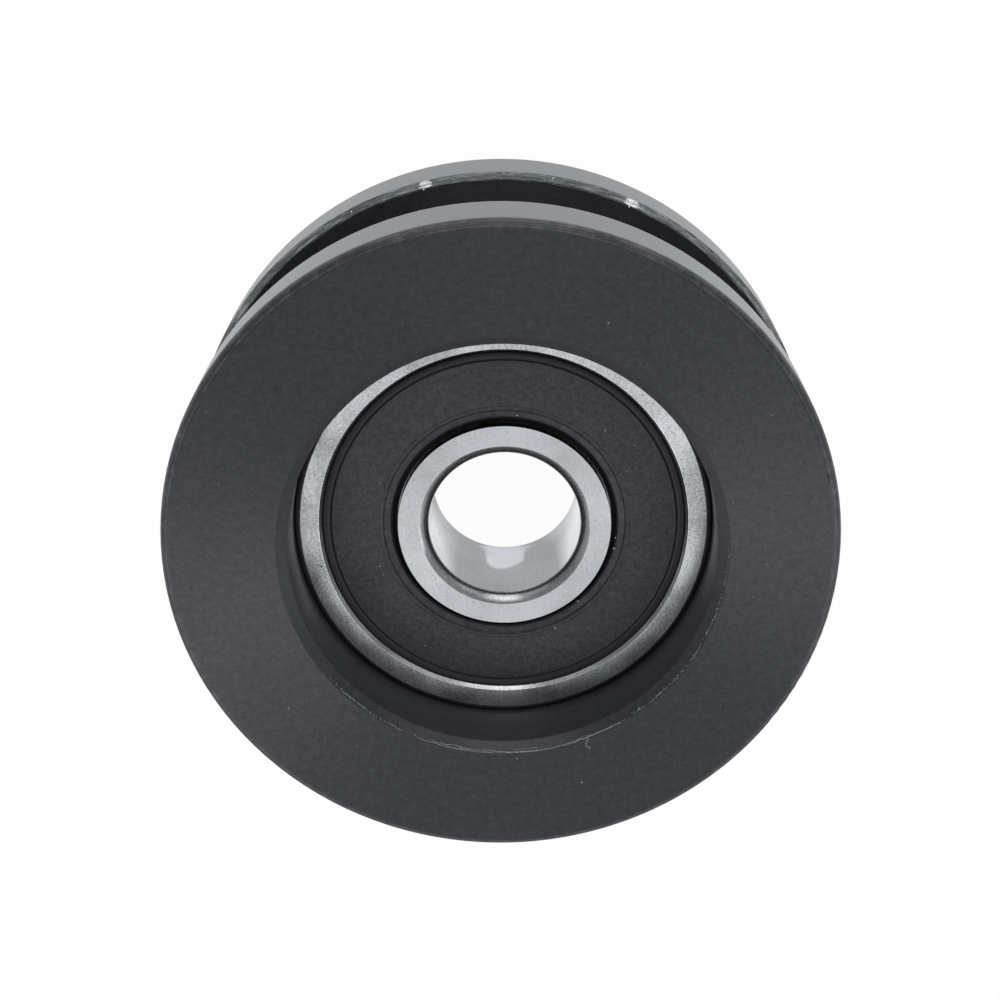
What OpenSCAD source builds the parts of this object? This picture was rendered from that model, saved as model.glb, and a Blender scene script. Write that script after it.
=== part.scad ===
// Guide wheel with a V groove, turned in one piece and running on a sealed ball bearing.
// Millimetres. The wheel lies on its rear end face, its axis is +Z and z = 0 is the surface under it.

/* [Wheel] */
// Outer diameter of the two rims
wheel_d = 34.5; // [33:0.5:60]
// Width of the wheel between its end faces
wheel_w = 15; // [13:0.5:24]
// Rounding of the outer edge of each end face
edge_round = 0.5; // [0.2:0.05:1]
// Depth of the front recess, from the end face down to the bearing
recess_h = 3.75; // [2:0.25:6]
// Chamfer on the lip of the recess in each end face
recess_break = 0.5; // [0.1:0.05:1]
// Height of the rear shoulder that stops the bearing
stop_h = 1; // [0.4:0.1:1.2]

/* [Groove] */
// Width of the V at the rims, with its chamfers
groove_w = 7.1; // [4:0.1:7.5]
// Angle between the two flanks
groove_angle = 60; // [55:5:100]
// Radius of the round root
groove_root_r = 1.2; // [0.4:0.1:1.6]
// Chamfer where each flank meets its rim
groove_break = 0.4; // [0.1:0.05:0.6]

/* [Bearing] */
// Outer diameter of the bearing
bearing_d = 22; // [21.5:0.5:24]
// Bore of the inner ring
bearing_bore = 8; // [7:0.25:8.5]
// Width of both rings
bearing_w = 7; // [7:0.25:9]
// Corner of the outer ring, measured along the face
ring_corner = 0.34; // [0.2:0.02:0.5]
// Corner of the bore, measured along the face
bore_corner = 0.5; // [0.2:0.01:0.6]
// Face of the outer ring, from its outer diameter to its inner bevel
outer_face_w = 1.23; // [1.1:0.01:1.4]
// Face of the inner ring, from its bore to its outer edge
inner_face_w = 1.6; // [1.4:0.05:1.7]
// Bevel on the inner edge of the outer ring
ring_bevel = 0.26; // [0.1:0.02:0.3]

/* [Balls and raceways] */
// Diameter of a ball
ball_d = 3.969; // [3.5:0.001:4]
// Number of balls
ball_count = 7; // [5:1:7]
// Gap between a ball and each raceway
race_gap = 0.015; // [0.01:0.005:0.05]
// Radius of a raceway's section as a share of the ball's radius
race_round = 1.03; // [1.02:0.01:1.08]
// Height of the shoulders above each raceway's bottom
race_depth = 0.6; // [0.4:0.05:0.65]

/* [Seals] */
// Depth of the ledge that a seal sits on, below the ring's face
seal_seat = 0.85; // [0.75:0.05:0.9]
// Depth of the groove that holds the seal's bead, past the ring's mouth
bead_catch = 0.15; // [0.05:0.01:0.2]
// Depth of the seal's outer rim below the ring's face
rim_sink = 0.25; // [0.1:0.05:0.35]
// Width of the seal's outer rim
rim_w = 0.21; // [0.2:0.01:0.5]
// Height of the rim above the bead
rim_h = 0.13; // [0.08:0.01:0.2]
// Width of the moulded channel inside the rim
channel_w = 0.26; // [0.1:0.02:0.36]
// Depth of the moulded channel below the seal's face
channel_h = 0.22; // [0.05:0.01:0.25]
// Width of the lip round the inner ring
lip_w = 0.54; // [0.3:0.01:0.8]
// Width of the fine step between the seal's face and its lip
lip_step_w = 0.1; // [0.05:0.01:0.15]
// Depth of that step
lip_step_h = 0.12; // [0.05:0.01:0.2]
// Fall of the lip towards the inner ring
lip_fall = 0.15; // [0.05:0.01:0.2]
// Gap that shows between the lip and the inner ring
lip_gap = 0.28; // [0.15:0.01:0.35]
// Running gap at the tongue under the lip
tongue_gap = 0.05; // [0.03:0.01:0.1]
// Thickness of the tongue
tongue_t = 0.2; // [0.1:0.02:0.25]
// Height from the ledge down to the underside of the tongue
tongue_drop = 0.05; // [0:0.01:0.1]
// Gap between the tongue and the shoulder of the inner ring
tongue_room = 0.15; // [0.05:0.01:0.2]

/* [Cage] */
// Thickness of the pressed strip
cage_t = 0.4; // [0.25:0.05:0.45]
// Radial width of the pressed strip
cage_w = 1.5; // [1.3:0.1:2]
// Gap between a ball and its pocket
pocket_gap = 0.08; // [0.03:0.01:0.1]
// Diameter of a rivet's shank
rivet_d = 0.7; // [0.5:0.05:0.8]
// Diameter of a rivet's head
rivet_head_d = 1.2; // [1:0.05:1.25]
// Height of a rivet's head
rivet_head_h = 0.28; // [0.2:0.02:0.35]

/* [Hidden] */
$fn = 128;
eps = 0.01;

// Radius of a rounded corner's arc, as a share of the corner's width
corner_flat = 1.15;

// Wheel
mid_z = wheel_w / 2;
wheel_r = wheel_d / 2;
seat_r = bearing_d / 2;
stop_r = seat_r - stop_h;
bearing_z = wheel_w - recess_h - bearing_w / 2;
seat_z = bearing_z - bearing_w / 2;
flank_half = groove_angle / 2;
flank_r = wheel_r - groove_break;
flank_half_w = groove_w / 2 - groove_break;
root_c_r = flank_r - flank_half_w / tan(flank_half) + groove_root_r / sin(flank_half);

// Rings, with r measured from the axis and z from the bearing's middle plane
half_w = bearing_w / 2;
bore_r = bearing_bore / 2;
pitch_r = (bearing_d + bearing_bore) / 4;
ball_r = ball_d / 2;
race_r = ball_r * race_round;
inner_race_r = pitch_r - ball_r - race_gap;
outer_race_r = pitch_r + ball_r + race_gap;
inner_shoulder_r = inner_race_r + race_depth;
outer_shoulder_r = outer_race_r - race_depth;
inner_land_r = bore_r + inner_face_w;
outer_edge_r = seat_r - outer_face_w;
mouth_r = outer_edge_r - ring_bevel;

// Seals, with depths measured down from the ring's face
bead_r = mouth_r + bead_catch;
bead_top = rim_sink + rim_h;
channel_out_r = mouth_r - rim_w;
channel_in_r = channel_out_r - channel_w;
lip_r = inner_land_r + lip_gap;
lip_out_r = lip_r + lip_w;
tongue_r = inner_land_r + tongue_gap;
seal_back = seal_seat + tongue_drop;
seal_room = seal_back + tongue_room;

// Cage
pocket_r = ball_r + pocket_gap;
cage_in_r = pitch_r - cage_w / 2;
cage_out_r = pitch_r + cage_w / 2;
ball_step = 360 / ball_count;

black = "#3a3b3f";
seal_black = "#2e2f33";
ground_steel = "#c9cbcc";
ball_steel = "#dfe1e3";
strip_steel = "#b4aea2";
rivet_steel = "#9a9ca0";

// One corner of a section, cut to a slightly flattened arc that meets both faces c from the corner
module corner_cut(c) {
    arc_r = corner_flat * c;
    back = sqrt(arc_r * arc_r - c * c / 2) + c / sqrt(2);
    difference() {
        translate([-eps, -eps]) square(c + eps);
        translate([back, back] / sqrt(2)) circle(r = arc_r);
    }
}

// Turned section of the wheel about its middle plane
module wheel_section() {
    difference() {
        translate([stop_r, -mid_z]) square([wheel_r - stop_r, wheel_w]);
        translate([stop_r - eps, seat_z - mid_z]) square([stop_h + eps, wheel_w]);
        for (end = [-1, 1]) {
            scale([1, end]) translate([wheel_r, mid_z]) rotate(180) corner_cut(edge_round);
            recess_bevel(end, end > 0 ? seat_r : stop_r);
        }
        groove_section();
    }
}

// Chamfer at the lip of one recess
module recess_bevel(end, lip) {
    polygon([
        [lip + recess_break, end * mid_z],
        [lip, end * (mid_z - recess_break)],
        [lip - recess_break, end * mid_z],
        [lip, end * (mid_z + recess_break)]
    ]);
}

// V with a round root, tangent to both flanks, and a chamfer at each rim
module groove_section() {
    tangent_r = root_c_r - groove_root_r * sin(flank_half);
    tangent_z = groove_root_r * cos(flank_half);
    over = flank_half_w + 2 * groove_break;
    polygon([
        [tangent_r, tangent_z],
        [flank_r, flank_half_w],
        [flank_r + 2 * groove_break, over],
        [flank_r + 2 * groove_break, -over],
        [flank_r, -flank_half_w],
        [tangent_r, -tangent_z]
    ]);
    translate([root_c_r, 0]) circle(r = groove_root_r);
}

module wheel() {
    color(black) translate([0, 0, mid_z]) rotate_extrude() wheel_section();
}

// Outer ring: raceway, ledges for the seals and the grooves that hold their beads
module outer_ring() {
    color(ground_steel) translate([0, 0, bearing_z]) rotate_extrude() difference() {
        translate([outer_shoulder_r, -half_w]) square([seat_r - outer_shoulder_r, bearing_w]);
        translate([outer_race_r - race_r, 0]) circle(r = race_r);
        for (end = [-1, 1]) scale([1, end]) {
            translate([0, half_w - seal_seat]) square([mouth_r, seal_seat + eps]);
            translate([0, half_w - seal_seat]) square([bead_r, seal_seat - bead_top]);
            translate([mouth_r, half_w]) rotate(45) square(ring_bevel * sqrt(2), center = true);
            translate([seat_r, half_w]) rotate(180) corner_cut(ring_corner);
        }
    }
}

// Inner ring: bore with rounded corners, a land for each seal and a raceway between two shoulders
module inner_ring() {
    color(ground_steel) translate([0, 0, bearing_z]) rotate_extrude() difference() {
        union() {
            translate([bore_r, -half_w]) square([inner_land_r - bore_r, bearing_w]);
            translate([bore_r, seal_room - half_w])
                square([inner_shoulder_r - bore_r, bearing_w - 2 * seal_room]);
        }
        translate([inner_race_r + race_r, 0]) circle(r = race_r);
        for (end = [-1, 1]) scale([1, end]) {
            translate([bore_r, half_w]) scale([1, -1]) corner_cut(bore_corner);
        }
    }
}

// Moulded seal, snapped into the outer ring, with a lip and a thin tongue round the inner ring
module seal() {
    face = half_w - rim_sink;
    floor_z = half_w - seal_back;
    color(seal_black) rotate_extrude() difference() {
        union() {
            translate([tongue_r, floor_z]) square([channel_out_r - tongue_r, face - floor_z]);
            translate([channel_in_r, half_w - seal_seat]) square([mouth_r - channel_in_r, seal_seat - rim_sink]);
            translate([channel_in_r, half_w - seal_seat]) square([bead_r - channel_in_r, seal_seat - bead_top]);
        }
        translate([channel_in_r, face - channel_h]) square([channel_w, channel_h + eps]);
        polygon([
            [lip_out_r, face + eps],
            [lip_out_r, face - lip_step_h],
            [lip_out_r - lip_step_w, face - lip_step_h / 2],
            [lip_r, face - lip_fall],
            [lip_r, floor_z + tongue_t],
            [tongue_r - eps, floor_z + tongue_t],
            [tongue_r - eps, face + eps]
        ]);
    }
}

module front_seal() {
    translate([0, 0, bearing_z]) seal();
}

module rear_seal() {
    translate([0, 0, bearing_z]) mirror([0, 0, 1]) seal();
}

// Half of the pressed cage: flat webs joined by pockets that wrap the balls
module cage_half() {
    top = pocket_r + cage_t;
    color(strip_steel) difference() {
        intersection() {
            difference() {
                cylinder(r = cage_out_r, h = top);
                translate([0, 0, -eps]) cylinder(r = cage_in_r, h = top + 2 * eps);
            }
            union() {
                cylinder(r = cage_out_r + eps, h = cage_t);
                at_balls() sphere(r = top);
            }
        }
        at_balls() sphere(r = pocket_r);
        at_rivets() translate([0, 0, -eps]) cylinder(d = rivet_d, h = cage_t + 2 * eps);
    }
}

module cage_front() {
    translate([0, 0, bearing_z]) cage_half();
}

module cage_rear() {
    translate([0, 0, bearing_z]) mirror([0, 0, 1]) cage_half();
}

module at_balls() {
    for (i = [1 : ball_count]) at_ball(i) children();
}

module at_rivets() {
    for (i = [1 : ball_count]) at_ball(i + 0.5) children();
}

// Place i on the pitch circle; whole numbers are balls and halves are the rivets between them
module at_ball(i) {
    rotate((i - 1) * ball_step) translate([pitch_r, 0, 0]) children();
}

module ball(i) {
    color(ball_steel) translate([0, 0, bearing_z]) at_ball(i) sphere(d = ball_d);
}

// Rivet with a domed head on each face of the cage
module rivet(i) {
    dome_r = (rivet_head_d * rivet_head_d / 4 + rivet_head_h * rivet_head_h) / (2 * rivet_head_h);
    color(rivet_steel) translate([0, 0, bearing_z]) at_ball(i + 0.5) rotate_extrude() {
        translate([0, -cage_t]) square([rivet_d / 2, 2 * cage_t]);
        for (end = [-1, 1]) scale([1, end]) translate([0, cage_t]) intersection() {
            square([rivet_head_d / 2, rivet_head_h]);
            translate([0, rivet_head_h - dome_r]) circle(r = dome_r);
        }
    }
}

wheel();
outer_ring();
inner_ring();
front_seal();
rear_seal();
cage_front();
cage_rear();
for (i = [1 : ball_count]) {
    ball(i);
    rivet(i);
}
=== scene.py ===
import math
import random

import bmesh
import bpy
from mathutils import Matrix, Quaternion, Vector


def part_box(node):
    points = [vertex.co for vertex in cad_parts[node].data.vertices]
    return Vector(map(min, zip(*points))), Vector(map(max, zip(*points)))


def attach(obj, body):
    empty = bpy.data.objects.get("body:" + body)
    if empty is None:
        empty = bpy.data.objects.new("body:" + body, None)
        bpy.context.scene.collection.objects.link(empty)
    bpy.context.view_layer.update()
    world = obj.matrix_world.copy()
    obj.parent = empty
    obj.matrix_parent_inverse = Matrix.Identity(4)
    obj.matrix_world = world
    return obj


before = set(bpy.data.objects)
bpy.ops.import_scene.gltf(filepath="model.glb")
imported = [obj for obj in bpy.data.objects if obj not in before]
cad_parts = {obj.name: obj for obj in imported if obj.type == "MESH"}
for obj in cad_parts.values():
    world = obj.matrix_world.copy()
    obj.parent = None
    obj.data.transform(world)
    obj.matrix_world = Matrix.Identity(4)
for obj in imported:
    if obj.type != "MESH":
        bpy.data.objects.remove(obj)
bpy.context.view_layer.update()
scene = bpy.context.scene
scene.view_settings.view_transform = "Standard"
print("loaded", len(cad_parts), "nodes of the wheel and its bearing")

# Lengths here are millimetres, as on a turner's sketch, and go through mm() into metres.
# A turn is an angle round the axle: 0 points along -X and 90 along +Y.


def mm(value):
    return value / 1000


wheelLow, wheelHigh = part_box("wheel")
ringLow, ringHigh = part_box("outer_ring")
wheelRadius = wheelHigh.x
faceHeight = wheelHigh.z
midHeight = (wheelLow.z + wheelHigh.z) / 2
seatRadius = ringHigh.x
ringFace = ringHigh.z
bearingMiddle = (ringLow.z + ringHigh.z) / 2

# Cuts of the wheel that its finish and its burrs follow.
wheelCuts = {
    "grooveHalf": 3.55,          # from mid height to the groove's edge on the rim
    "grooveBreak": 0.4,          # 45 degree chamfer beside the groove
    "recessBreak": 0.5,          # 45 degree chamfer at the recess lip
    "edgeRound": 0.5,            # rounding of the rims
}


def place(radius, turn, height):
    angle = math.radians(turn)
    return Vector((-mm(radius) * math.cos(angle), mm(radius) * math.sin(angle), mm(height)))


# ---- camera ----

cameraView = {
    "lens": 64.3,
    "shiftX": -0.12,
    "aim": (-6.2, -2.0),         # point on the plane of the front face that the lens axis meets
    "distance": 89.7,
    "elevation": 67.8,
    "roll": -171.0,
    "clip": (5, 10000),
}


def makeCamera(view):
    camera = bpy.data.objects.new("camera", bpy.data.cameras.new("camera"))
    scene.collection.objects.link(camera)
    scene.camera = camera
    camera.data.lens = view["lens"]
    camera.data.shift_x = view["shiftX"]
    camera.data.clip_start, camera.data.clip_end = [mm(reach) for reach in view["clip"]]
    rise = math.radians(view["elevation"])
    back = Vector((0, -math.cos(rise), math.sin(rise)))
    aim = Vector((mm(view["aim"][0]), mm(view["aim"][1]), faceHeight))
    camera.location = aim + back * mm(view["distance"])
    camera.rotation_mode = "QUATERNION"
    upright = (-back).to_track_quat("-Z", "Y")
    camera.rotation_quaternion = upright @ Quaternion((0, 0, 1), math.radians(-view["roll"]))


makeCamera(cameraView)
print("camera placed")


# ---- node helpers ----


def startMaterial(name):
    material = bpy.data.materials.new(name)
    material.use_nodes = True
    tree = material.node_tree
    tree.nodes.clear()
    output = tree.nodes.new("ShaderNodeOutputMaterial")
    return material, tree, output


def setSocket(tree, socket, value):
    if isinstance(value, bpy.types.NodeSocket):
        tree.links.new(value, socket)
    else:
        socket.default_value = value


def addNode(tree, kind, inputs=None, **settings):
    node = tree.nodes.new("ShaderNode" + kind)
    for key, value in settings.items():
        setattr(node, key, value)
    for key, value in (inputs or {}).items():
        setSocket(tree, node.inputs[key], value)
    return node


def mathNode(tree, operation, first, second=0.0):
    return addNode(tree, "Math", {0: first, 1: second}, operation=operation).outputs[0]


def times(tree, first, second):
    return mathNode(tree, "MULTIPLY", first, second)


def vectorNode(tree, operation, inputs):
    return addNode(tree, "VectorMath", inputs, operation=operation).outputs[0]


def distanceFrom(tree, spot, centre):
    return addNode(tree, "VectorMath", {0: spot, 1: centre}, operation="DISTANCE").outputs["Value"]


def ramp(tree, value, low, high, fromValue=0.0, toValue=1.0):
    return addNode(tree, "MapRange", {
        "Value": value, "From Min": low, "From Max": high, "To Min": fromValue, "To Max": toValue,
    }).outputs[0]


def band(tree, value, low, high, soft):
    rise = ramp(tree, value, low - soft, low + soft)
    fall = ramp(tree, value, high - soft, high + soft, 1.0, 0.0)
    return times(tree, rise, fall)


def noise(tree, vector, scale, detail=2.0, rough=0.5):
    return addNode(tree, "TexNoise", {
        "Vector": vector, "Scale": scale, "Detail": detail, "Roughness": rough,
    }).outputs["Fac"]


def lineNoise(tree, along, scale, detail=2.0):
    return addNode(tree, "TexNoise", {
        "W": along, "Scale": scale, "Detail": detail,
    }, noise_dimensions="1D").outputs["Fac"]


def mixColour(tree, share, first, second):
    node = addNode(tree, "Mix", {"Factor": share}, data_type="RGBA")
    for socket, value in ((node.inputs[6], first), (node.inputs[7], second)):
        solid = not isinstance(value, bpy.types.NodeSocket)
        setSocket(tree, socket, (*value, 1) if solid else value)
    return node.outputs[2]


def mixValue(tree, share, first, second):
    return addNode(tree, "Mix", {"Factor": share, 2: first, 3: second}, data_type="FLOAT").outputs[0]


def shaded(colour, share):
    return [share * part for part in colour]


def toned(tree, tone, colour, shares):
    # from the darker share of a colour to the lighter one
    return mixColour(tree, tone, shaded(colour, shares[0]), shaded(colour, shares[1]))


def wavering(tree, pattern, middle, below, above):
    return ramp(tree, pattern, 0.3, 0.7, middle - below, middle + above)


def turnedCoordinates(tree):
    spot = addNode(tree, "TexCoord").outputs["Object"]
    split = addNode(tree, "SeparateXYZ", {0: spot})
    flat = addNode(tree, "CombineXYZ", {0: split.outputs[0], 1: split.outputs[1]}).outputs[0]
    radius = addNode(tree, "VectorMath", {0: flat}, operation="LENGTH").outputs["Value"]
    return spot, radius, split.outputs[2]


def bump(tree, height, distance, normal=None):
    inputs = {"Height": height, "Distance": distance, "Strength": 1.0}
    if normal is not None:
        inputs["Normal"] = normal
    return addNode(tree, "Bump", inputs).outputs[0]


def finishTurned(tree, output, inputs):
    # Tool marks run round the axle, so the gloss is drawn out across them.
    shader = addNode(tree, "BsdfPrincipled", {
        **inputs, "Anisotropic Rotation": 0.25,
        "Tangent": addNode(tree, "Tangent", direction_type="RADIAL", axis="Z").outputs[0],
    })
    tree.links.new(shader.outputs[0], output.inputs[0])


def finishPlain(tree, output, inputs):
    shader = addNode(tree, "BsdfPrincipled", inputs)
    tree.links.new(shader.outputs[0], output.inputs[0])


# ---- black turned plastic ----

plasticLook = {
    "colour": (0.0143, 0.0153, 0.0198),
    "scuffed": (0.050, 0.054, 0.056),         # chamfers of the groove
    "torn": (0.27, 0.28, 0.285),
    "tornWidth": 0.31,                        # how much of the groove's chamfer is torn
    "faceTone": (0.7, 1.32),
    "faceGloss": (0.43, 0.57),
    "faceRoughness": 0.42,
    "rimGloss": (0.94, 1.06),
    "rimRoughness": 0.2,
    "breakRoughness": 0.27,
    "paintedShadeAndLight": {                                 # painted shade: the groove is coloured darker; painted light: the recess lip and wall are coloured paler; all three shine less
        "groove": {"tone": (0.36, 0.87), "gloss": 0.12},
        "lip": {"tone": (0.72, 1.74), "gloss": 0.46},
        "wall": {"tone": (0.72, 1.74), "gloss": 0.37},
    },
    "scales": {                               # how fine each pattern is, in cells to the metre
        "grain": 9000, "mottle": 2600, "cloud": 260, "broad": 1500, "fleck": 5200,
        "hairs": 30000, "patches": 900, "strips": 16000, "shreds": 1200,
    },
    "feedPitch": 0.09,                        # lathe feed
    "markDepth": 0.0011,
    "grainDepth": 0.0016,
    "wallGrainDepth": 0.008,
    "tornDepth": 0.02,
    "drawnOut": 0.8,                          # how far the gloss is drawn out across the marks
    # painted highlight: two pale glints on the groove's chamfer
    "paintedGlintColour": (0.86, 0.89, 0.91),
    "paintedGlints": ((-94.5, 0.36), (-57, 0.44)),  # turn and half width of the painted glints
    "fleck": (0.13, 0.135, 0.14),
    "flecks": (                               # radius, turn, size
        (13.2, -58, 0.14), (11.53, 77.3, 0.12), (11.62, 77.8, 0.12), (11.72, 78.2, 0.12),
        (11.84, 78.3, 0.12), (11.95, 78.1, 0.12), (12.05, 77.8, 0.12), (13.9, 82.5, 0.14),
        (11.8, 96.5, 0.12), (14.2, 152, 0.10), (12.2, 140, 0.09), (13.4, 12, 0.08),
        (15.2, -20, 0.07), (14.6, 205, 0.08),
    ),
}


def wheelZones(tree, look, radius, height):
    # a mask for each cut of the wheel
    offMiddle = mathNode(tree, "ABSOLUTE", mathNode(tree, "SUBTRACT", height, midHeight))
    half, groove = wheelCuts["grooveHalf"], wheelCuts["grooveBreak"]
    lip = 1000 * seatRadius + wheelCuts["recessBreak"]
    tornTo, rounding = half - look["tornWidth"], wheelCuts["edgeRound"]
    nearRim = ramp(tree, radius, wheelRadius - mm(groove + 0.03), wheelRadius - mm(groove))
    return {
        "break": times(tree, nearRim, band(tree, offMiddle, mm(tornTo), mm(half), mm(0.02))),
        "rim": times(tree, ramp(tree, radius, wheelRadius - mm(0.06), wheelRadius - mm(0.02)),
                     ramp(tree, offMiddle, mm(half - 0.02), mm(half + 0.02))),
        "rounding": times(tree, ramp(tree, radius, wheelRadius - mm(rounding), wheelRadius - mm(0.2)),
                          ramp(tree, offMiddle, midHeight - mm(rounding), midHeight - mm(0.15))),
        "groove": times(tree, ramp(tree, offMiddle, mm(tornTo), mm(tornTo - 0.05)),
                        ramp(tree, radius, mm(12), mm(12.1))),
        "lip": ramp(tree, radius, mm(lip), mm(lip + 0.02), 1, 0),
        "wall": ramp(tree, radius, seatRadius + mm(0.02), seatRadius + mm(0.04), 1, 0),
    }


def scuffedBreakAndGlints(tree, look, spot, torn, ragged):
    # torn streaks on the groove's chamfer, with painted glints over them
    half, groove = wheelCuts["grooveHalf"], wheelCuts["grooveBreak"]
    scuffAndGlints = mixColour(tree, torn, look["scuffed"], look["torn"])
    for turn, size in look["paintedGlints"]:
        centre = (*place(1000 * wheelRadius - groove / 2, turn, 1000 * midHeight - half + groove / 2),)
        away = mathNode(tree, "ADD", distanceFrom(tree, spot, centre), times(tree, ragged, 3.0))
        glintShare = ramp(tree, away, mm(0.55 * size), mm(size), 1, 0)
        scuffAndGlints = mixColour(tree, glintShare, scuffAndGlints, look["paintedGlintColour"])
    return scuffAndGlints


def turnedPlastic(look):
    material, tree, output = startMaterial("blackTurnedPlastic")
    spot, radius, height = turnedCoordinates(tree)
    zones = wheelZones(tree, look, radius, height)
    pitch = 1000 / look["feedPitch"]
    marks = mathNode(tree, "ADD", lineNoise(tree, radius, pitch), lineNoise(tree, height, pitch))
    scales = look["scales"]
    broad = lineNoise(tree, radius, scales["broad"])
    grain = noise(tree, spot, scales["grain"], 2, 0.6)
    mottle = noise(tree, spot, scales["mottle"], 3, 0.6)
    cloud = noise(tree, spot, scales["cloud"], 3)
    hairs = lineNoise(tree, height, scales["hairs"], 1)          # fine torn lines that run round
    around = vectorNode(tree, "MULTIPLY", {0: spot, 1: (1, 1, 9)})
    patches = ramp(tree, noise(tree, around, scales["patches"], 4, 0.7), 0.3, 0.7, 0.15, 0.85)
    torn = ramp(tree, times(tree, hairs, patches), 0.20, 0.36)
    shreds = times(tree, lineNoise(tree, radius, scales["strips"], 1),
                   noise(tree, spot, scales["shreds"], 4, 0.7))
    strips = times(tree, zones["rounding"], ramp(tree, shreds, 0.27, 0.36, 0.0, 0.35))

    fleck = ramp(tree, noise(tree, spot, scales["fleck"], 2), 0.735, 0.78, 0.0, 0.5)
    ragged = times(tree, mathNode(tree, "SUBTRACT", grain, 0.5), mm(0.08))
    for fleckRadius, turn, size in look["flecks"]:
        centre = (*place(fleckRadius, turn, 1000 * faceHeight),)
        away = mathNode(tree, "ADD", distanceFrom(tree, spot, centre), ragged)
        near = ramp(tree, away, mm(0.25 * size), mm(0.55 * size), 1, 0)
        fleck = mathNode(tree, "MAXIMUM", fleck, near)

    tone = ramp(tree, times(tree, mathNode(tree, "ADD", grain, mottle), 0.5), 0.36, 0.64)
    colour = toned(tree, tone, look["colour"], look["faceTone"])
    gloss = mixValue(tree, zones["rim"], mixValue(tree, tone, *look["faceGloss"]),
                     ramp(tree, grain, 0.3, 0.7, *look["rimGloss"]))
    # painted shade in the groove, painted light on the recess lip and wall
    for name, zonePaint in look["paintedShadeAndLight"].items():
        colour = mixColour(tree, zones[name], colour, toned(tree, tone, look["colour"], zonePaint["tone"]))
        gloss = mixValue(tree, zones[name], gloss, zonePaint["gloss"])
    colour = mixColour(tree, fleck, colour, look["fleck"])
    colour = mixColour(tree, zones["break"], colour, scuffedBreakAndGlints(tree, look, spot, torn, ragged))
    colour = mixColour(tree, strips, colour, look["torn"])
    rough = wavering(tree, cloud, look["faceRoughness"], 0.03, 0.03)
    rough = mixValue(tree, zones["rim"], rough, look["rimRoughness"])
    rough = mixValue(tree, zones["break"], rough, look["breakRoughness"])

    grainDepth = mixValue(tree, zones["wall"], mm(look["grainDepth"]), mm(look["wallGrainDepth"]))
    normal = bump(tree, marks, mm(look["markDepth"]))
    normal = bump(tree, broad, mm(look["markDepth"] * 1.5), normal)
    normal = bump(tree, grain, grainDepth, normal)
    normal = bump(tree, times(tree, zones["break"], torn), mm(look["tornDepth"]), normal)
    finishTurned(tree, output, {
        "Base Color": colour, "Roughness": rough, "Normal": normal, "Specular IOR Level": gloss,
        "Anisotropic": look["drawnOut"],
    })
    return material


# ---- ground bearing steel ----

ringLook = {
    "colour": (0.585, 0.59, 0.61),
    "stain": (0.30, 0.30, 0.31),
    "turned": (0.262, 0.265, 0.274),     # corners left as turned and hardened
    "turnedTone": (0.7, 1.3),
    "roughness": 0.17,
    "turnedRoughness": 0.24,
    "boreRoughness": 0.05,
    "bore": (4.03, 4.06),                # the lapped bore ends between these radii
    "grindPitch": 0.05,
    "lineDepth": 0.0007,
    "scratchDepth": 0.0014,
    "grainDepth": 0.0016,
    "scratchTurns": (35, -52, 8),        # directions of the grinding scratches
    "scales": {"grain": 9000, "cloud": 500, "pits": 2300, "scratches": 8000, "scratched": 300},
    "drawnOut": 0.9,
}

# Each face is ground between two radii. Past faceDepth from the middle, what lies outside them is a
# corner. lean flattens the bore corner, and flush is where the bevel's outer edge meets the face.
steelParts = {
    "outer_ring": {
        "ground": (9.71, 10.66), "faceDepth": 3.1, "lean": 0.0, "flush": 9.80,
        "speckle": 0.38, "seed": 0.0,
    },
    "inner_ring": {
        "ground": (4.5, 5.58), "faceDepth": 3.0, "lean": 0.5, "flush": 0.0,
        "speckle": 0.15, "seed": 0.7,
    },
}


def leanTo(tree, normal, direction, share):
    # turns the shading toward a direction of the piece's own frame
    direction = addNode(tree, "VectorTransform", {0: direction}, vector_type="NORMAL",
                        convert_from="OBJECT", convert_to="WORLD").outputs[0]
    rest = mathNode(tree, "SUBTRACT", 1.0, share)
    kept = vectorNode(tree, "SCALE", {0: normal, "Scale": rest})
    leaned = vectorNode(tree, "SCALE", {0: direction, "Scale": share})
    return vectorNode(tree, "NORMALIZE", {0: vectorNode(tree, "ADD", {0: kept, 1: leaned})})


def grindingScratches(tree, look, along):
    # straight scratches in a few directions, each only here and there
    scratches = 0.0
    for turn in look["scratchTurns"]:
        drawn = addNode(tree, "Mapping", {
            "Vector": along, "Rotation": (0, 0, math.radians(turn)), "Scale": (1, 0.08, 0.08),
        }).outputs[0]
        moved = vectorNode(tree, "ADD", {0: along, 1: (turn, turn, turn)})
        where = ramp(tree, noise(tree, moved, look["scales"]["scratched"], 2), 0.45, 0.6)
        one = times(tree, where, noise(tree, drawn, look["scales"]["scratches"], 3, 0.6))
        scratches = mathNode(tree, "ADD", scratches, one)
    return scratches


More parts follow.
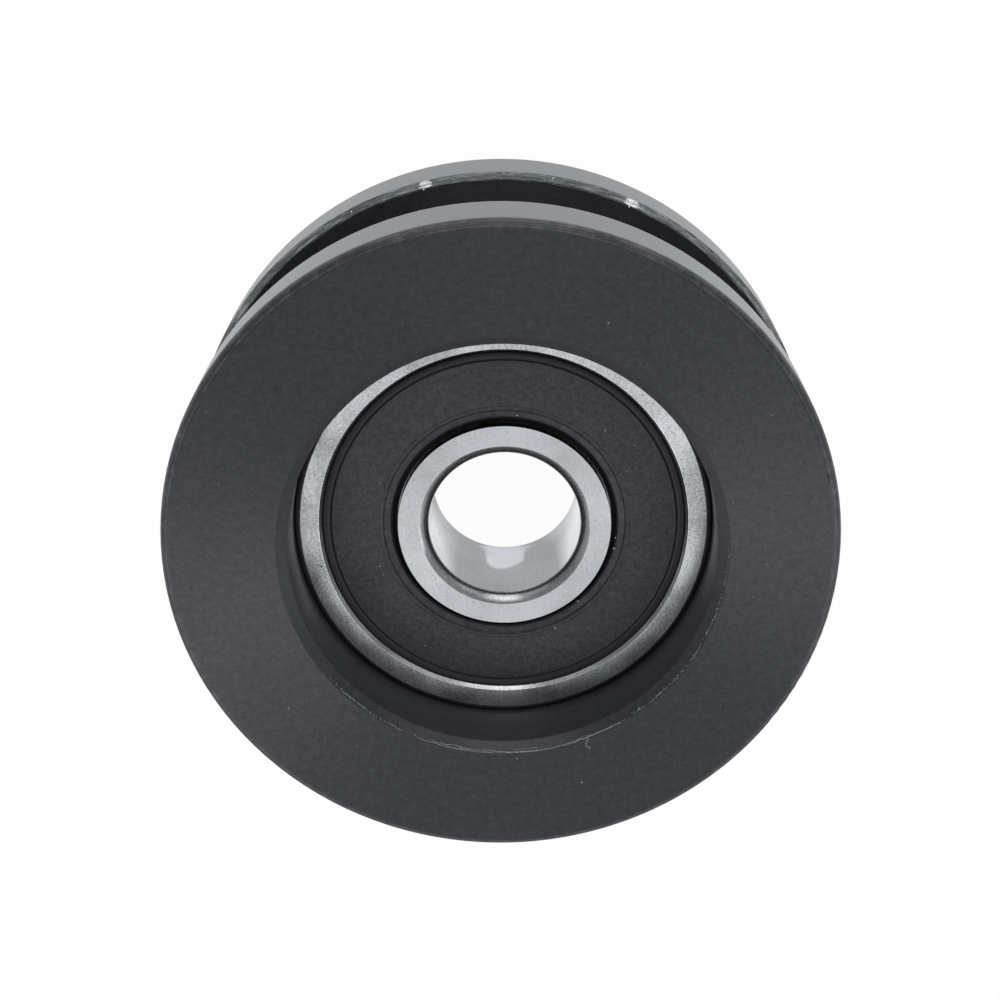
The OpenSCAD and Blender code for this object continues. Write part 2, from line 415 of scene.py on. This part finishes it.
def groundSteel(name, look, part):
    material, tree, output = startMaterial(name)
    spot, radius, height = turnedCoordinates(tree)
    groundFrom, groundTo = [mm(edge) for edge in part["ground"]]
    faceDepth, speckle, seed = mm(part["faceDepth"]), part["speckle"], part["seed"]
    along = vectorNode(tree, "ADD", {0: spot, 1: (seed, seed, seed)})
    scales = look["scales"]
    grain = noise(tree, along, scales["grain"], 2, 0.6)
    cloud = noise(tree, along, scales["cloud"], 3)
    scratches = grindingScratches(tree, look, along)
    pits = ramp(tree, noise(tree, along, scales["pits"], 3, 0.6), 0.70, 0.74)
    pitch = 1000 / look["grindPitch"]
    lines = mathNode(tree, "ADD", lineNoise(tree, radius, pitch), lineNoise(tree, height, pitch))

    fromMiddle = mathNode(tree, "SUBTRACT", height, bearingMiddle)
    deep = ramp(tree, mathNode(tree, "ABSOLUTE", fromMiddle), faceDepth - mm(0.01), faceDepth + mm(0.01))
    outside = mathNode(tree, "MAXIMUM", ramp(tree, radius, groundFrom - mm(0.01), groundFrom, 1, 0),
                       ramp(tree, radius, groundTo, groundTo + mm(0.01)))
    corner = times(tree, outside, deep)
    inBore = ramp(tree, radius, *[mm(edge) for edge in look["bore"]], 1, 0)
    plain = mathNode(tree, "SUBTRACT", 1.0, inBore)

    tone = mathNode(tree, "ADD", times(tree, grain, 0.75), times(tree, scratches, 0.25))
    tone = ramp(tree, tone, 0.3, 0.7)
    colour = toned(tree, tone, look["colour"], (1 - speckle, 1 + 0.9 * speckle))
    colour = mixColour(tree, pits, colour, look["stain"])
    colour = mixColour(tree, corner, colour, toned(tree, tone, look["turned"], look["turnedTone"]))
    rough = wavering(tree, cloud, look["roughness"], 0.03, 0.04)
    rough = mixValue(tree, corner, rough, look["turnedRoughness"])
    rough = mixValue(tree, inBore, rough, look["boreRoughness"])

    normal = None
    for pattern, depth in ((lines, "lineDepth"), (scratches, "scratchDepth"), (grain, "grainDepth")):
        normal = bump(tree, pattern, times(tree, plain, mm(look[depth])), normal)
    upward = addNode(tree, "CombineXYZ", {"Z": mathNode(tree, "SIGN", fromMiddle)}).outputs[0]
    if part["lean"]:
        # The turning tool leaves the bore corner nearer to one even slope than to a true round.
        inward = vectorNode(tree, "MULTIPLY", {0: spot, 1: (-1.0, -1.0, 0.0)})
        inward = vectorNode(tree, "NORMALIZE", {0: inward})
        slope = vectorNode(tree, "ADD", {0: inward, 1: upward})
        onSlope = ramp(tree, radius, groundFrom, groundFrom + mm(0.02), part["lean"], 0)
        normal = leanTo(tree, normal, slope, times(tree, onSlope, times(tree, corner, plain)))
    if part["flush"]:
        # Grinding rounds the bevel's outer edge into the face.
        onEdge = times(tree, band(tree, radius, groundFrom, mm(part["flush"]), mm(0.01)), deep)
        normal = leanTo(tree, normal, upward, onEdge)
    facing = times(tree, plain, mathNode(tree, "SUBTRACT", 1.0, corner))
    finishTurned(tree, output, {
        "Base Color": colour, "Roughness": rough, "Normal": normal, "Metallic": 1.0,
        "Anisotropic": times(tree, facing, look["drawnOut"]),
    })
    return material


# ---- moulded seal rubber ----

sealLook = {
    "colour": (0.0152, 0.0160, 0.0205),
    "tone": (0.55, 1.5),
    "gloss": (0.37, 0.60),
    "bloom": 2.0,                        # how much paler the bloomed spots are
    "roughness": 0.5,
    "grainDepth": 0.014,
    "mottleDepth": 0.007,
    "scales": {"grain": 8000, "mottle": 2900, "cloud": 420, "bloom": 3000},
    # painted shade: the rim beside the outer ring is coloured 0.6 and the channel 0.9 of the rubber, and
    # both shine less
    "rim": {"edge": (9.30, 9.34), "colour": 0.6, "gloss": 0.26, "drawnOut": 0.8},
    "channel": {"edge": (9.06, 9.32), "colour": 0.9, "gloss": 0.36},
    "lip": {"edge": (5.96, 6.04), "colour": 0.35, "gloss": 0.1},      # darker and duller inward of the running lip's edge
}


def mouldedRubber(look):
    material, tree, output = startMaterial("mouldedSealRubber")
    spot, radius, _ = turnedCoordinates(tree)
    scales = look["scales"]
    grain = noise(tree, spot, scales["grain"], 3, 0.6)
    mottle = noise(tree, spot, scales["mottle"], 3, 0.65)
    cloud = noise(tree, spot, scales["cloud"], 3)
    bloom = ramp(tree, noise(tree, spot, scales["bloom"], 3, 0.6), 0.62, 0.72, 0.0, 0.3)
    rimEdge, channelEdge, lipEdge = [
        [mm(edge) for edge in look[part]["edge"]] for part in ("rim", "channel", "lip")]
    zones = {
        "rim": ramp(tree, radius, *rimEdge),
        "channel": band(tree, radius, *channelEdge, mm(0.04)),
        "lip": ramp(tree, radius, *lipEdge, 1, 0),
    }
    tone = ramp(tree, times(tree, mathNode(tree, "ADD", grain, mottle), 0.5), 0.36, 0.64)
    colour = toned(tree, tone, look["colour"], look["tone"])
    colour = mixColour(tree, bloom, colour, shaded(look["colour"], look["bloom"]))
    gloss = mixValue(tree, tone, *look["gloss"])
    # painted shade on the rim and the channel; the lip zone is darker and duller
    for part, zone in zones.items():
        colour = mixColour(tree, zone, colour, shaded(look["colour"], look[part]["colour"]))
        gloss = mixValue(tree, zone, gloss, look[part]["gloss"])
    normal = bump(tree, grain, mm(look["grainDepth"]))
    normal = bump(tree, mottle, mm(look["mottleDepth"]), normal)
    finishTurned(tree, output, {
        "Base Color": colour, "Roughness": wavering(tree, cloud, look["roughness"], 0.05, 0.06),
        "Normal": normal, "Specular IOR Level": gloss,
        "Anisotropic": times(tree, zones["rim"], look["rim"]["drawnOut"]),
    })
    return material


# ---- steels inside the bearing ----

innerSteels = {
    "ball_": {"name": "ballSteel", "colour": (0.78, 0.78, 0.79), "roughness": 0.06, "grain": 0.0002},
    "cage_": {"name": "stripSteel", "colour": (0.50, 0.48, 0.44), "roughness": 0.34, "grain": 0.002},
    "rivet_": {"name": "rivetSteel", "colour": (0.56, 0.56, 0.56), "roughness": 0.3, "grain": 0.0015},
}


def plainSteel(look):
    material, tree, output = startMaterial(look["name"])
    spot = addNode(tree, "TexCoord").outputs["Object"]
    grain = noise(tree, spot, 6000, 3)
    smear = noise(tree, spot, 600, 3)
    finishPlain(tree, output, {
        "Base Color": toned(tree, smear, look["colour"], (0.92, 1)),
        "Roughness": ramp(tree, smear, 0.3, 0.7, look["roughness"] * 0.85, look["roughness"] * 1.2),
        "Metallic": 1.0, "Normal": bump(tree, grain, mm(look["grain"])),
    })
    return material


def dress(nodeName, material):
    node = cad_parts[nodeName]
    node.data.materials.clear()
    node.data.materials.append(material)


dress("wheel", turnedPlastic(plasticLook))
dress("outer_ring", groundSteel("outerRingSteel", ringLook, steelParts["outer_ring"]))
dress("inner_ring", groundSteel("innerRingSteel", ringLook, steelParts["inner_ring"]))
sealRubber = mouldedRubber(sealLook)
for sealName in ("front_seal", "rear_seal"):
    dress(sealName, sealRubber)
for start, look in innerSteels.items():
    steel = plainSteel(look)
    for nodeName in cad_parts:
        if nodeName.startswith(start):
            dress(nodeName, steel)
print("materials assigned")


# ---- burrs, dust and small marks ----


def addThread(mesh, points, thickness, sides=5):
    # a strand along the points, drawn thin toward both ends
    taper = 0.75
    rings = []
    last = len(points) - 1
    for index, point in enumerate(points):
        heading = points[min(index + 1, last)] - points[max(index - 1, 0)]
        turn = heading.to_track_quat("Z", "Y")
        size = mm(thickness) / 2 * (1 - taper * abs(2 * index / last - 1) ** 3)
        corners = [math.tau * side / sides for side in range(sides)]
        rings.append([
            mesh.verts.new(point + turn @ Vector((size * math.cos(at), size * math.sin(at), 0)))
            for at in corners])
    for first, second in zip(rings, rings[1:]):
        for side in range(sides):
            after = (side + 1) % sides
            mesh.faces.new((first[side], first[after], second[after], second[side]))
    mesh.faces.new(rings[0][::-1])
    mesh.faces.new(rings[-1])


crumbShape = {"stretch": (0.6, 1.0), "push": (0.75, 1.1)}


def addSpeck(mesh, centre, facing, size, flatness, dice):
    # A crumb: a small ball of facets, each corner pushed in or out a little, then flattened.
    turn = facing.to_track_quat("Z", "Y")
    spin = Quaternion((0, 0, 1), dice.uniform(0, math.tau))
    stretch = dice.uniform(*crumbShape["stretch"])
    made = bmesh.ops.create_icosphere(mesh, subdivisions=2, radius=mm(size) / 2)
    for corner in made["verts"]:
        at = corner.co * dice.uniform(*crumbShape["push"])
        at = Vector((at.x, at.y * stretch, at.z * flatness))
        corner.co = centre + turn @ (spin @ at)


def newPiece(name, mesh, material, body):
    data = bpy.data.meshes.new(name)
    mesh.to_mesh(data)
    mesh.free()
    for face in data.polygons:
        face.use_smooth = True
    piece = bpy.data.objects.new(name, data)
    scene.collection.objects.link(piece)
    data.materials.append(material)
    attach(piece, body)


crumbLooks = {
    "paleBurr": {"darker": (0.09, 0.095, 0.10), "lighter": (0.22, 0.23, 0.235), "roughness": 0.5},
    # white crumbs: torn plastic, and painted glints where they bunch
    "whiteBurrAndGlint": {"darker": (0.55, 0.57, 0.58), "lighter": (0.85, 0.87, 0.88), "roughness": 0.4},
    "paleDust": {"darker": (0.16, 0.17, 0.17), "lighter": (0.42, 0.43, 0.42), "roughness": 0.7},
    "darkGrain": {"darker": (0.012, 0.012, 0.014), "lighter": (0.04, 0.04, 0.045), "roughness": 0.6},
}


def crumbMaterial(name, look):
    material, tree, output = startMaterial(name)
    spot = addNode(tree, "TexCoord").outputs["Object"]
    patch = noise(tree, spot, 7000, 3, 0.6)
    share = ramp(tree, patch, 0.35, 0.65)
    finishPlain(tree, output, {
        "Base Color": mixColour(tree, share, look["darker"], look["lighter"]),
        "Roughness": wavering(tree, patch, look["roughness"], 0.1, 0.1),
        "Normal": bump(tree, patch, mm(0.004)),
    })
    return material


crumbs = {name: crumbMaterial(name, look) for name, look in crumbLooks.items()}


# The seals have a soft rolled bead beside the outer ring and a faint double line above the lip.

sealBead = {
    "rim": ((8.97, 11.004), (9.03, 10.98), (9.08, 10.93), (9.14, 10.905), (9.22, 10.905), (9.28, 10.94),
            (9.34, 11.04), (9.40, 11.075), (9.46, 11.075), (9.50, 11.05), (9.505, 11.0)),
    "lip": ((6.34, 10.90), (6.40, 10.95), (6.435, 10.965), (6.455, 10.95), (6.48, 10.965),
            (6.505, 10.955), (6.54, 11.002), (6.60, 11.004)),
    "depth": 0.06,
    "segments": 360,
}


def addTurned(mesh, profile, depth, segments, flip):
    # The profile is the visible side; the piece goes depth below it and closes on itself.
    loop = list(profile) + [(radius, height - depth) for radius, height in reversed(profile)]
    rings = []
    for index in range(segments):
        turn = 360 * index / segments
        rings.append([mesh.verts.new(place(radius, turn, flip(height))) for radius, height in loop])
    for index, ring in enumerate(rings):
        after = rings[(index + 1) % segments]
        for corner, _ in enumerate(loop):
            following = (corner + 1) % len(loop)
            mesh.faces.new((ring[corner], after[corner], after[following], ring[following]))
    bmesh.ops.recalc_face_normals(mesh, faces=mesh.faces)


def makeSealBeads(look):
    middle = 1000 * bearingMiddle
    sides = {"frontSealBead": lambda height: height, "rearSealBead": lambda height: 2 * middle - height}
    for name, flip in sides.items():
        mesh = bmesh.new()
        for profile in (look["rim"], look["lip"]):
            addTurned(mesh, profile, look["depth"], look["segments"], flip)
        newPiece(name, mesh, sealRubber, "wheel")


makeSealBeads(sealBead)
print("beads on the seals made")


# The recess lip still carries the fine thread of plastic that the tool pushed over its chamfer.

lipBurrs = {
    "threads": (                     # from, to, thickness, how far inward it starts
        (124, 104, 0.070, 0.03), (106, 84, 0.084, 0.03), (86, 66, 0.074, 0.03),
        (148, 138, 0.050, 0.05), (133, 127, 0.044, 0.05), (121, 101, 0.056, 0.13),
        (98, 90, 0.040, 0.11), (84, 76, 0.044, 0.10), (72, 66, 0.040, 0.03),
        (58, 53, 0.040, 0.05), (50, 47, 0.036, 0.05), (42, 37, 0.042, 0.05), (34, 31, 0.034, 0.05),
        (29, 26, 0.036, 0.05), (19, 16, 0.036, 0.05), (11, 9, 0.034, 0.05),
    ),
    "tufts": (                       # from, to, how many, longest
        (22, 60, 62, 0.27),
        (60, 63, 12, 0.36),
        (52, 55, 5, 0.32),
        (63, 66, 3, 0.2),
        (122, 152, 44, 0.24),
        (0, 22, 34, 0.17),
        (-8, 0, 5, 0.12),
        (66, 122, 24, 0.13),
        (150, 352, 40, 0.08),
    ),
    "tuftThickness": (0.024, 0.048),
    "tuftRadius": 11.4,
    "tuftShare": (0.35, 1.0),        # of the longest
    "tuftLean": 0.75,
    "tuftCurl": 0.5,
    "tuftRise": 0.16,
    "tuftSteps": 5,
    "threadStep": 0.5,               # in degrees
    "wander": 0.03,
    "wanderLimits": (0.025, 0.05),   # outward and inward
    "clearance": 0.006,
    "underFace": 0.045,              # how far below the front face a strand's middle stays
    "seed": 12,
}


def onChamfer(inward, turn, lift):
    # a point over the 45 degree chamfer, inward of the lip's outer edge
    radius = 1000 * seatRadius + wheelCuts["recessBreak"] - inward
    height = min(1000 * faceHeight - inward + lift, 1000 * faceHeight - lipBurrs["underFace"])
    return place(radius - lift * 0.7, turn, height)


def makeLipBurrs(look):
    dice = random.Random(look["seed"])
    mesh = bmesh.new()
    outward, furtherIn = look["wanderLimits"]
    for first, last, thickness, inward in look["threads"]:
        steps = max(6, int(abs(last - first) / look["threadStep"]))
        drift = inward
        points = []
        for step in range(steps + 1):
            drift += dice.uniform(-look["wander"], look["wander"])
            drift = min(inward + furtherIn, max(inward - outward, drift))
            turn = first + (last - first) * step / steps
            points.append(onChamfer(drift, turn, thickness / 2 + look["clearance"]))
        addThread(mesh, points, thickness)
    for first, last, count, longest in look["tufts"]:
        for index in range(count):
            turn = first + (last - first) * (index + dice.uniform(0.0, 1.0)) / count
            length = longest * dice.uniform(*look["tuftShare"])
            lean = dice.uniform(-1.0, 1.0)
            curl = dice.uniform(-look["tuftCurl"], look["tuftCurl"])
            points = []
            for step in range(look["tuftSteps"] + 1):
                along = step / look["tuftSteps"]
                inward = 0.03 + length * 0.72 * along * (1 - 0.35 * along)
                sideways = length * (look["tuftLean"] * lean * along + curl * along * along)
                lift = 0.012 + look["tuftRise"] * length * math.sin(math.pi * along)
                at = turn + math.degrees(sideways / look["tuftRadius"])
                points.append(onChamfer(inward, at, lift))
            addThread(mesh, points, dice.uniform(*look["tuftThickness"]))
    newPiece("lipBurrs", mesh, crumbs["paleBurr"], "wheel")


makeLipBurrs(lipBurrs)
print("burrs on the recess lip made")


# The chamfers beside the groove are torn: short strands lie along them, with a few ragged tufts of white
# crumbs that are partly torn plastic and partly painted glints.

grooveBurrs = {
    "strands": 150,
    "span": (1.2, 7.5),
    "thickness": (0.016, 0.036),
    # the bunches at turns -94.5 and -57 are painted glints
    "tufts": ((-94.5, 16), (-57, 14), (-72, 3), (-80, 2), (-108, 2), (14, 12), (88, 14), (163, 12)),
    "tuftWidth": 1.0,                # in degrees
    "crumb": (0.05, 0.13),
    "lift": 0.010,
    "crumbLift": 0.008,
    "underRim": 0.02,                # how far inside the rim's surface a strand's middle stays
    "seed": 31,
}


def onGrooveEdge(share, turn, lift, side):
    # share 0 is the rim's edge of the chamfer, 1 the edge over the flank
    depth = wheelCuts["grooveBreak"] * share
    radius = 1000 * wheelRadius - depth + lift * 0.7
    off = wheelCuts["grooveHalf"] - depth - lift * 0.7
    radius = min(radius, 1000 * wheelRadius - grooveBurrs["underRim"])
    return place(radius, turn, 1000 * midHeight + side * off)


def makeGrooveBurrs(look):
    dice = random.Random(look["seed"])
    strands = bmesh.new()
    tufts = bmesh.new()
    for side in (-1, 1):
        for index in range(look["strands"]):
            turn = 360 * (index + dice.uniform(0, 1)) / look["strands"]
            span = dice.uniform(*look["span"])
            share = dice.choice((dice.uniform(0.08, 0.9), dice.uniform(0.86, 0.97)))
            tilt = dice.uniform(-0.10, 0.10)
            points = []
            for step in range(8):
                along = step / 7
                here = min(0.97, max(0.06, share + tilt * along + dice.uniform(-0.012, 0.012)))
                points.append(onGrooveEdge(here, turn + span * along, look["lift"], side))
            addThread(strands, points, dice.uniform(*look["thickness"]), 4)
        for turn, count in look["tufts"]:
            for index in range(count):
                at = turn + dice.gauss(0, 1) * look["tuftWidth"] / 2
                share = min(0.95, max(0.05, dice.gauss(0.5, 0.22)))
                centre = onGrooveEdge(share, at, look["crumbLift"], side)
                facing = Vector((centre.x, centre.y, 0)).normalized() - Vector((0, 0, side))
                addSpeck(tufts, centre, facing, dice.uniform(*look["crumb"]), 0.35, dice)
    newPiece("grooveStrands", strands, crumbs["paleBurr"], "wheel")
    newPiece("grooveTuftsAndGlints", tufts, crumbs["whiteBurrAndGlint"], "wheel")


makeGrooveBurrs(grooveBurrs)
print("burrs beside the groove made")


# Pale dust on the front seal and the outer ring, and dark grains on the ground steel.

dust = {
    "seen": (                        # radius, turn, height, size
        (6.15, -74.5, 10.99, 0.11), (7.42, -36, 11.0, 0.13), (6.63, 75.6, 11.0, 0.12),
        (5.93, 58.3, 10.99, 0.14), (5.96, 23, 10.99, 0.15), (5.9, 17, 10.99, 0.10),
        (10.2, -21.3, 11.25, 0.08), (8.1, -24, 11.0, 0.09), (8.3, 131, 11.0, 0.10),
        (7.0, 170, 11.0, 0.08), (6.9, -150, 11.0, 0.07),
    ),
    "fine": 26,
    "fineSize": (0.03, 0.06),
    "onSeal": (6.5, 8.9),            # radii the fine dust lies between, two times in three
    "onRing": (9.85, 10.6),          # and the rest of it
    "sealFace": 11.0,
    "ringFace": 11.25,
    "flatness": 0.5,
    "seed": 5,
}

ringGrains = {
    "seen": ((9.90, 176.5, 0.15), (10.47, -161.4, 0.09), (10.2, 173.6, 0.08), (10.35, 168, 0.06)),
    "patches": ((-30, 34, 46), (150, 200, 22), (34, 150, 14), (200, 330, 10)),   # from, to, how many
    "size": (0.025, 0.065),
    "outerFace": (9.82, 10.6),       # radii of the ground faces
    "innerFace": (4.65, 5.5),
    "onInnerFace": 16,
    "boreRadius": 4,
    "inBore": (                      # turn, height, size
        (170, 8.1, 0.13), (162, 7.8, 0.14), (168, 9.0, 0.06), (20, 7.0, 0.06),
    ),
    "flatness": 0.16,
    "seed": 9,
}


def makeDust(look):
    dice = random.Random(look["seed"])
    up = Vector((0, 0, 1))
    mesh = bmesh.new()
    for radius, turn, height, size in look["seen"]:
        addSpeck(mesh, place(radius, turn, height + size * 0.15), up, size, look["flatness"], dice)
    for _ in range(look["fine"]):
        size = dice.uniform(*look["fineSize"])
        radius = dice.choice([
            dice.uniform(*look[where]) for where in ("onSeal", "onSeal", "onRing")])
        height = look["ringFace"] if radius >= look["onRing"][0] else look["sealFace"]
        centre = place(radius, dice.uniform(0, 360), height + size * 0.1)
        addSpeck(mesh, centre, up, size, look["flatness"], dice)
    newPiece("paleDustSpecks", mesh, crumbs["paleDust"], "wheel")


def makeGrains(look):
    dice = random.Random(look["seed"])
    up = Vector((0, 0, 1))
    face = 1000 * ringFace
    flatness = look["flatness"]

    def scatter(mesh, radii, turns, count):
        for _ in range(count):
            size = dice.uniform(*look["size"])
            centre = place(dice.uniform(*radii), dice.uniform(*turns), face)
            addSpeck(mesh, centre, up, size, flatness, dice)

    mesh = bmesh.new()
    for radius, turn, size in look["seen"]:
        addSpeck(mesh, place(radius, turn, face), up, size, flatness, dice)
    for first, last, count in look["patches"]:
        scatter(mesh, look["outerFace"], (first, last), count)
    newPiece("ringGrains", mesh, crumbs["darkGrain"], "wheel")
    mesh = bmesh.new()
    scatter(mesh, look["innerFace"], (0, 360), look["onInnerFace"])
    for turn, height, size in look["inBore"]:
        out = place(look["boreRadius"], turn, height)
        addSpeck(mesh, out, Vector((-out.x, -out.y, 0)), size, flatness, dice)
    newPiece("boreGrains", mesh, crumbs["darkGrain"], "inner_ring")


makeDust(dust)
makeGrains(ringGrains)
print("dust and grains made")


# ---- floor and light ----

studio = {
    "floorSize": 3000,
    "floorDrop": 0.02,           # below the wheel's underside
    "floorColour": (0.86, 0.86, 0.86),
    "tint": (0.955, 0.975, 1.0),
    "seenGlow": 0.965,           # share of plain white in what the camera sees of the floor
    "mirroredGlow": 1.0,         # and in what gloss and glass show of it
    "shadeGlow": 0.55,           # under the wheel, on the near side of the bore
    "shadeEdge": (2.3, 3.6),     # where that shade fades out, along Y
    "shadeReach": (5, 7),        # and outward from the axle
    "litPatch": {
        "place": (0.155, 1.08), "half": 0.46, "behind": 0.54, "ahead": 0.92, "lean": 0.2,
        "edge": (0.92, 1.08), "glow": 0.93,
    },
    "skyAhead": 0.85,            # sky over the far side, +Y
    "skyBehind": 0.38,           # sky over the near side
    "skyTurn": (-0.8, 0.4),      # where one passes into the other
}


def litPatch(tree, spot, patch):
    # round behind its middle and drawn to a point ahead of it
    centre = (*[mm(along) for along in patch["place"]], 0)
    split = addNode(tree, "SeparateXYZ", {0: vectorNode(tree, "SUBTRACT", {0: spot, 1: centre})})
    side, ahead = split.outputs[0], split.outputs[1]
    side = mathNode(tree, "SUBTRACT", side, times(tree, ahead, patch["lean"]))
    side = mathNode(tree, "DIVIDE", side, mm(patch["half"]))
    back = mathNode(tree, "MAXIMUM", mathNode(tree, "DIVIDE", ahead, -mm(patch["behind"])), 0.0)
    ahead = mathNode(tree, "MAXIMUM", mathNode(tree, "DIVIDE", ahead, mm(patch["ahead"])), 0.0)
    squares = mathNode(tree, "ADD", times(tree, side, side), times(tree, back, back))
    reach = mathNode(tree, "ADD", mathNode(tree, "SQRT", squares), ahead)
    return ramp(tree, reach, *patch["edge"], 1, 0)


def makeFloor(setup):
    mesh = bpy.data.meshes.new("floor")
    half, drop = mm(setup["floorSize"]) / 2, -mm(setup["floorDrop"])
    corners = [(-half, -half, drop), (half, -half, drop), (half, half, drop), (-half, half, drop)]
    mesh.from_pydata(corners, [], [(0, 1, 2, 3)])
    floor = bpy.data.objects.new("floor", mesh)
    scene.collection.objects.link(floor)
    material, tree, output = startMaterial("paleFloor")
    path = addNode(tree, "LightPath")
    mirrored = mathNode(tree, "MAXIMUM", path.outputs["Is Glossy Ray"],
                        path.outputs["Is Transmission Ray"])
    spot, radius, _ = turnedCoordinates(tree)
    ahead = addNode(tree, "SeparateXYZ", {0: spot}).outputs[1]
    shade = times(tree, ramp(tree, radius, *[mm(edge) for edge in setup["shadeReach"]], 1, 0),
                  ramp(tree, ahead, *[mm(edge) for edge in setup["shadeEdge"]], 1, 0))
    glow = mixValue(tree, shade, setup["mirroredGlow"], setup["shadeGlow"])
    glow = mixValue(tree, litPatch(tree, spot, setup["litPatch"]), glow, setup["litPatch"]["glow"])
    share = mathNode(tree, "MAXIMUM", mirrored,
                     times(tree, path.outputs["Is Camera Ray"], setup["seenGlow"]))
    plain = addNode(tree, "BsdfDiffuse", {"Color": (*setup["floorColour"], 1)})
    cool = mixColour(tree, mirrored, (1, 1, 1), setup["tint"])
    white = addNode(tree, "Emission", {"Color": cool, "Strength": mixValue(tree, mirrored, 1.0, glow)})
    mix = addNode(tree, "MixShader", {0: share, 1: plain.outputs[0], 2: white.outputs[0]})
    tree.links.new(mix.outputs[0], output.inputs[0])
    mesh.materials.append(material)


def makeSky(setup):
    world = bpy.data.worlds.new("paleSky")
    scene.world = world
    world.use_nodes = True
    tree = world.node_tree
    tree.nodes.clear()
    output = tree.nodes.new("ShaderNodeOutputWorld")
    toward = addNode(tree, "SeparateXYZ", {0: addNode(tree, "TexCoord").outputs["Generated"]}).outputs[1]
    soft = ramp(tree, toward, *setup["skyTurn"], setup["skyBehind"], setup["skyAhead"])
    seen = addNode(tree, "LightPath").outputs["Is Camera Ray"]
    cool = mixColour(tree, seen, setup["tint"], (1, 1, 1))
    sky = addNode(tree, "Background", {"Color": cool, "Strength": mixValue(tree, seen, soft, 1.0)})
    tree.links.new(sky.outputs[0], output.inputs[0])


# Each soft box hangs at a compass bearing (0 is -Y, 90 is +X) and a rise above the floor, both in
# degrees, and glows as a sheet of that brightness would.
softBoxes = {
    "sideBoxPlusX": {"bearing": 128, "rise": 44, "reach": 700, "size": (340, 260), "glow": 3.7},
    "sideBoxMinusX": {"bearing": -128, "rise": 44, "reach": 700, "size": (340, 260), "glow": 3.1},
    "glintBox": {"bearing": -12, "rise": 27, "reach": 600, "size": (320, 400), "glow": 2.4},
    "glintWingA": {"bearing": 24, "rise": 20, "reach": 600, "size": (240, 260), "glow": 0.5},
    "glintWingB": {"bearing": -48, "rise": 20, "reach": 600, "size": (240, 260), "glow": 0.7},
    "lowBoxA": {"bearing": 10, "rise": 10, "reach": 600, "size": (26, 50), "glow": 60.0},
    "lowBoxB": {"bearing": -41, "rise": 9, "reach": 600, "size": (26, 50), "glow": 60.0},
}


def hangSoftBox(name, box):
    bearing, rise = math.radians(box["bearing"]), math.radians(box["rise"])
    level = math.cos(rise)
    toward = Vector((math.sin(bearing) * level, -math.cos(bearing) * level, math.sin(rise)))
    lamp = bpy.data.lights.new(name, "AREA")
    lamp.shape = "RECTANGLE"
    lamp.size, lamp.size_y = mm(box["size"][0]), mm(box["size"][1])
    lamp.energy = box["glow"] * math.pi * lamp.size * lamp.size_y      # in watts
    panel = bpy.data.objects.new(name, lamp)
    scene.collection.objects.link(panel)
    panel.location = Vector((0, 0, midHeight)) + toward * mm(box["reach"])
    panel.rotation_mode = "QUATERNION"
    panel.rotation_quaternion = toward.to_track_quat("Z", "Y")


makeFloor(studio)
makeSky(studio)
for boxName, box in softBoxes.items():
    hangSoftBox(boxName, box)
print("floor and light set")
